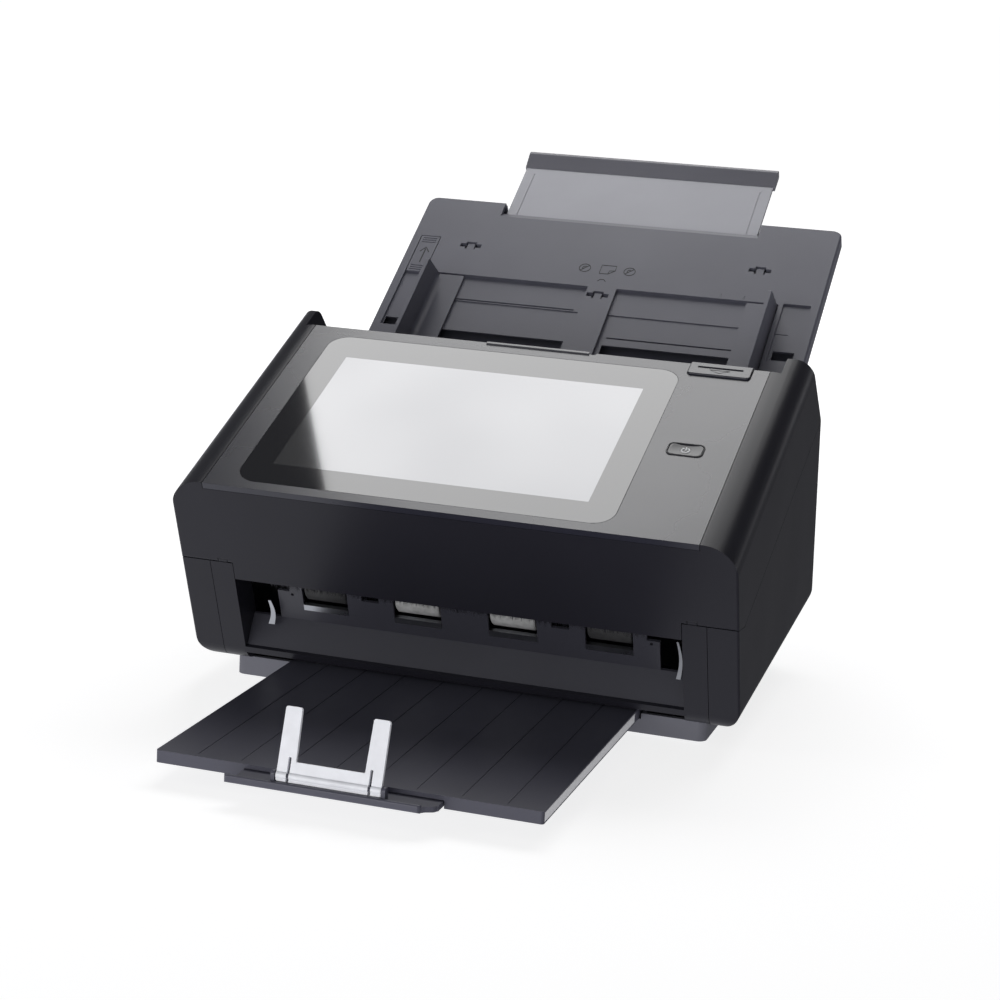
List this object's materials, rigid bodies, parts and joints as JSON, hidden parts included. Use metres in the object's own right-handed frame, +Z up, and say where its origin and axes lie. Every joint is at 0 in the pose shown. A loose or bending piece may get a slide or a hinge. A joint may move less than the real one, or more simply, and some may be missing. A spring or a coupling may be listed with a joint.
{
  "type": "sheet fed document scanner",
  "caption": "Desktop sheet fed document scanner with a tilted touch panel, hinged cover, folding input tray with side guides, and a sliding output tray with a fork-shaped stop.",
  "frame": {"origin": "bottom centre of the whole scanner's box, on the surface it stands on", "axes": "+X to the operator's right, +Y from the output tray to the rear, +Z up"},
  "size_m": [0.31, 0.5498, 0.2794],
  "materials": {
    "casing": "satin black moulded casing",
    "panel_plastic": "fine textured charcoal",
    "screen_glass": "black glass with a pale display behind it",
    "display": "pale display",
    "tray_plastic": "fine textured dark grey",
    "tray_dark": "fine textured black",
    "extension": "smoky grey, slightly glossy",
    "stop_plastic": "pale silver grey plastic",
    "guide_plastic": "black moulded plastic",
    "steel": "zinc plated sheet",
    "shaft_steel": "ground shaft",
    "bright_foil": "bright spring foil",
    "roller_grey": "light grey rubber",
    "roller_dark": "dark rubber",
    "gear_plastic": "natural acetal",
    "bush_plastic": "black acetal bush",
    "belt": "black toothed belt",
    "board": "green circuit board",
    "motor_case": "dark motor can",
    "sensor": "black sensor housing under glass",
    "brush": "black conductive brush",
    "feet": "black rubber",
    "socket": "black socket"
  },
  "bodies": {
    "base": {"side_cover_right": "casing", "side_cover_left": "casing", "front_frame": "casing", "bottom_cover": "casing", "rear_cover": "casing", "hinge_pins": "shaft_steel", "exit_guide": "guide_plastic", "window_lips": "bright_foil", "lower_guide": "guide_plastic", "lower_scan_module": "sensor", "side_frame_left": "steel", "side_frame_right": "steel", "bearings": "bush_plastic", "drive_motor": "motor_case", "drive_belt": "belt", "main_board": "board", "dc_inlet": "socket", "data_ports": "socket", "pedestal": "casing", "rubber_feet": "feet", "base_screws": "shaft_steel"},
    "upper_unit": {"cover_shell": "casing", "control_panel": "panel_plastic", "touch_glass": "screen_glass", "display_module": "display", "panel_board": "board", "upper_frame": "steel", "upper_guide": "guide_plastic", "upper_scan_module": "sensor", "antistatic_brush": "brush"},
    "power_key": {"power_button": "panel_plastic"},
    "latch_key": {"release_latch": "panel_plastic"},
    "latch_shaft": {"latch_hooks": "steel"},
    "exit_pinch": {"exit_pinch_rollers": "roller_dark"},
    "feed_pinch": {"feed_pinch_rollers": "roller_dark"},
    "exit_drive": {"exit_shaft": "shaft_steel", "exit_rollers": "roller_grey", "exit_rollers_outer": "roller_dark", "exit_pulley": "gear_plastic"},
    "feed_drive": {"feed_shaft": "shaft_steel", "feed_rollers": "roller_dark", "feed_gear": "gear_plastic"},
    "pick_drive": {"pick_shaft": "shaft_steel", "pick_roller": "roller_grey", "pick_gear": "gear_plastic"},
    "pick_idle": {"pick_idler": "gear_plastic"},
    "idler": {"idler_gear": "gear_plastic"},
    "motor_shaft": {"motor_pinion": "shaft_steel"},
    "paper_sensor": {"sensor_lever": "guide_plastic"},
    "output_shelf": {"output_tray": "tray_dark"},
    "output_end": {"output_slide": "tray_dark"},
    "stop_fork": {"paper_stop": "stop_plastic"},
    "input_tray": {"tray_front": "tray_plastic", "tray_back": "tray_plastic"},
    "mode_key": {"mode_slider": "tray_dark"},
    "left_guide": {"guide_left": "tray_plastic"},
    "right_guide": {"guide_right": "tray_plastic"},
    "guide_wheel": {"guide_pinion": "gear_plastic"},
    "tray_end": {"tray_extension": "extension", "extension_grip": "tray_dark"}
  },
  "joints": [
    {"name": "cover_hinge", "type": "hinge", "parent": "base", "child": "upper_unit", "pos_m": [0, -0.11204, 0.07576], "axis": [1, 0, 0], "range_deg": [0, 65]},
    {"name": "power_press", "type": "slide", "parent": "upper_unit", "child": "power_key", "axis": [0, 0.3907, -0.9205], "range_m": [0, 0.0008], "stiffness_N_per_m": 900},
    {"name": "latch_press", "type": "slide", "parent": "upper_unit", "child": "latch_key", "axis": [0, 0.3907, -0.9205], "range_m": [0, 0.003], "stiffness_N_per_m": 900},
    {"name": "hooks_turn", "type": "hinge", "parent": "upper_unit", "child": "latch_shaft", "pos_m": [0, 0.01582, 0.14307], "axis": [1, 0, 0], "range_deg": [-9, 0]},
    {"name": "exit_pinch_spin", "type": "hinge", "parent": "upper_unit", "child": "exit_pinch", "pos_m": [0, -0.08591, 0.07664], "axis": [1, 0, 0], "continuous": true},
    {"name": "feed_pinch_spin", "type": "hinge", "parent": "upper_unit", "child": "feed_pinch", "pos_m": [0, 0.01636, 0.12646], "axis": [1, 0, 0], "continuous": true},
    {"name": "feed_spin", "type": "hinge", "parent": "base", "child": "feed_drive", "pos_m": [0, 0.02312, 0.11053], "axis": [1, 0, 0], "continuous": true},
    {"name": "exit_spin", "type": "hinge", "parent": "base", "child": "exit_drive", "pos_m": [0, -0.07895, 0.06025], "axis": [1, 0, 0], "continuous": true},
    {"name": "pick_spin", "type": "hinge", "parent": "base", "child": "pick_drive", "pos_m": [0, 0.05337, 0.12095], "axis": [1, 0, 0], "continuous": true},
    {"name": "pick_idler_spin", "type": "hinge", "parent": "base", "child": "pick_idle", "pos_m": [0, 0.03824, 0.11574], "axis": [1, 0, 0], "continuous": true},
    {"name": "idler_spin", "type": "hinge", "parent": "base", "child": "idler", "pos_m": [0, 0.02677, 0.07572], "axis": [1, 0, 0], "continuous": true},
    {"name": "motor_spin", "type": "hinge", "parent": "base", "child": "motor_shaft", "pos_m": [0, 0.00337, 0.0539], "axis": [1, 0, 0], "continuous": true},
    {"name": "sensor_turn", "type": "hinge", "parent": "base", "child": "paper_sensor", "pos_m": [0, -0.01092, 0.09858], "axis": [1, 0, 0], "range_deg": [0, 35], "stiffness_Nm_per_rad": 0.002},
    {"name": "output_tray_slide", "type": "slide", "parent": "base", "child": "output_shelf", "axis": [0, 1, 0], "range_m": [0, 0.129]},
    {"name": "output_end_slide", "type": "slide", "parent": "output_shelf", "child": "output_end", "axis": [0, -1, 0], "range_m": [-0.008, 0.045]},
    {"name": "stop_fold", "type": "hinge", "parent": "output_end", "child": "stop_fork", "pos_m": [0, -0.27042, 0.0174], "axis": [-1, 0, 0], "range_deg": [0, 73]},
    {"name": "tray_fold", "type": "hinge", "parent": "base", "child": "input_tray", "pos_m": [0, 0.08527, 0.14774], "axis": [1, 0, 0], "range_deg": [0, 50]},
    {"name": "extension_slide", "type": "slide", "parent": "input_tray", "child": "tray_end", "axis": [0, 0.8231, 0.5678], "range_m": [-0.05, 0]},
    {"name": "guide_left_slide", "type": "slide", "parent": "input_tray", "child": "left_guide", "axis": [1, 0, 0], "range_m": [0, 0.075]},
    {"name": "guide_right_slide", "type": "slide", "parent": "input_tray", "child": "right_guide", "axis": [1, 0, 0], "range_m": [-0.075, 0]},
    {"name": "guide_pinion_spin", "type": "hinge", "parent": "input_tray", "child": "guide_wheel", "pos_m": [0, 0.13733, 0.18851], "axis": [0, -0.5678, 0.8231], "range_deg": [-477.96, 0.5]},
    {"name": "mode_slide", "type": "slide", "parent": "input_tray", "child": "mode_key", "axis": [0, -0.8231, -0.5678], "range_m": [0, 0.012]}
  ],
  "couplings": [
    {"joint": "hooks_turn", "follows": "latch_press", "rad_per_m": -49.451},
    {"joint": "exit_spin", "follows": "feed_spin", "ratio": 1},
    {"joint": "pick_spin", "follows": "feed_spin", "ratio": 1},
    {"joint": "pick_idler_spin", "follows": "feed_spin", "ratio": -1.6667},
    {"joint": "idler_spin", "follows": "feed_spin", "ratio": -0.4},
    {"joint": "motor_spin", "follows": "feed_spin", "ratio": 1.4286},
    {"joint": "guide_right_slide", "follows": "guide_left_slide", "ratio": -1},
    {"joint": "guide_pinion_spin", "follows": "guide_left_slide", "rad_per_m": -111.11}
  ]
}
